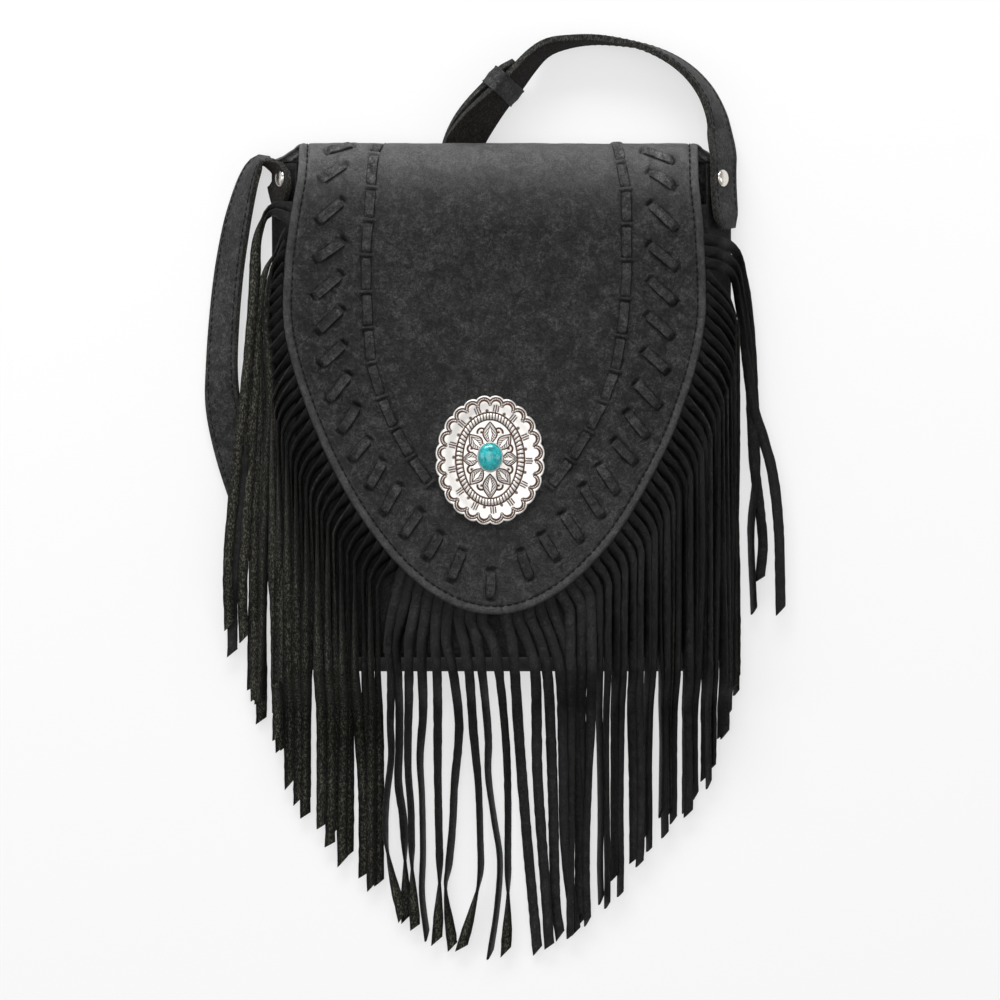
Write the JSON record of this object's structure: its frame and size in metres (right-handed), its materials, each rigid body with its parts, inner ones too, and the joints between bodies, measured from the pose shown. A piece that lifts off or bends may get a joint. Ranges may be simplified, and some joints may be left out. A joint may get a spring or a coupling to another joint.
{
  "type": "fringed shoulder bag",
  "caption": "Flat shoulder bag lying on its back: shield-shaped flap with laced edges and an oval silver concho, long suede-backed fringe, and a riveted strap looped under it.",
  "frame": {"origin": "centre of the bounding box's bottom face: the floor the bag lies on", "axes": "+Z out of the bag's front, up from the floor; +Y from the fringe's tips to the strap's top; +X to the right as the flap is seen"},
  "size_m": [0.2906, 0.4654, 0.0384],
  "materials": {
    "leather": "distressed black grain, satin",
    "suede": "black grain above, napped flesh side below",
    "lining": "plain woven cloth, matte",
    "silver": "antiqued silver, dark recesses",
    "nickel": "polished nickel",
    "turquoise": "polished cabochon"
  },
  "bodies": {
    "body": {"back_panel": "leather", "front_panel": "leather", "gusset": "leather", "snap_socket": "nickel", "strap_long": "leather", "strap_short": "leather", "strap_keeper": "leather", "strap_rivet": "nickel", "rivet_left": "nickel", "rivet_left_back": "nickel", "rivet_right": "nickel", "rivet_right_back": "nickel"},
    "flap": {"flap": "leather", "flap_lining": "lining", "fringe_left": "suede", "fringe_right": "suede", "edge_lace": "leather", "inner_lace_left": "leather", "inner_lace_right": "leather", "concho_plate": "silver", "concho_bezel": "silver", "turquoise_stone": "turquoise", "concho_post": "nickel", "snap_stud": "nickel"}
  },
  "joints": [
    {"name": "flap_fold", "type": "hinge", "parent": "body", "child": "flap", "pos_m": [0, 0.1786, 0.0155], "axis": [-1, 0, 0], "range_deg": [0, 100]}
  ]
}
